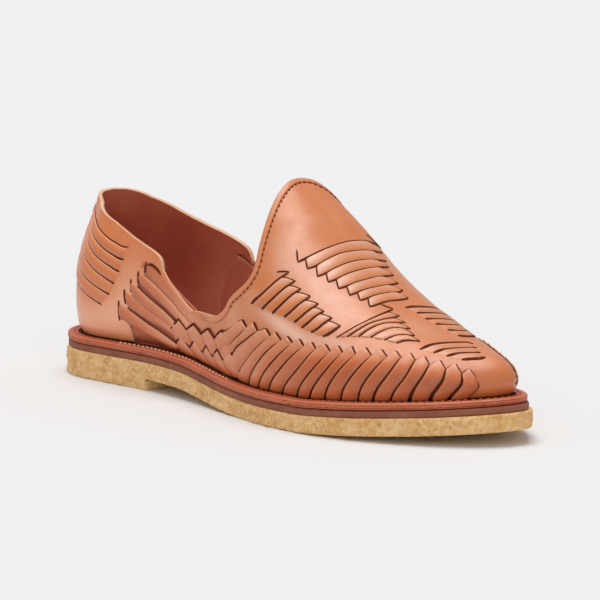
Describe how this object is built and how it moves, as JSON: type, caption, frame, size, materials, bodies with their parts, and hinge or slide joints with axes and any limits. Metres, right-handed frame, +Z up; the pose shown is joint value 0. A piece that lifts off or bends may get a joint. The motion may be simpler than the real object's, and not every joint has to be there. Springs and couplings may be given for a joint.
{
  "type": "woven huarache slip-on shoe",
  "caption": "Right closed huarache slip-on with a woven leather vamp, strapped quarters, a closed counter, a leather welt and a crepe rubber sole with a low heel.",
  "frame": {"origin": "centre of the bottom of the bounding box, on the ground", "axes": "+X from heel to toe, +Y to the medial side (a right shoe), +Z up"},
  "size_m": [0.295, 0.1006, 0.1027],
  "materials": {
    "crepe": "rough speckled",
    "midsole_leather": "rough cut edge",
    "welt_leather": "satin edge",
    "lining_leather": "matte",
    "upper_leather": "soft sheen"
  },
  "bodies": {
    "root": {"heel_lift": "crepe", "outsole": "crepe", "midsole": "midsole_leather", "welt": "welt_leather", "insole": "lining_leather", "upper": "upper_leather"}
  },
  "joints": []
}
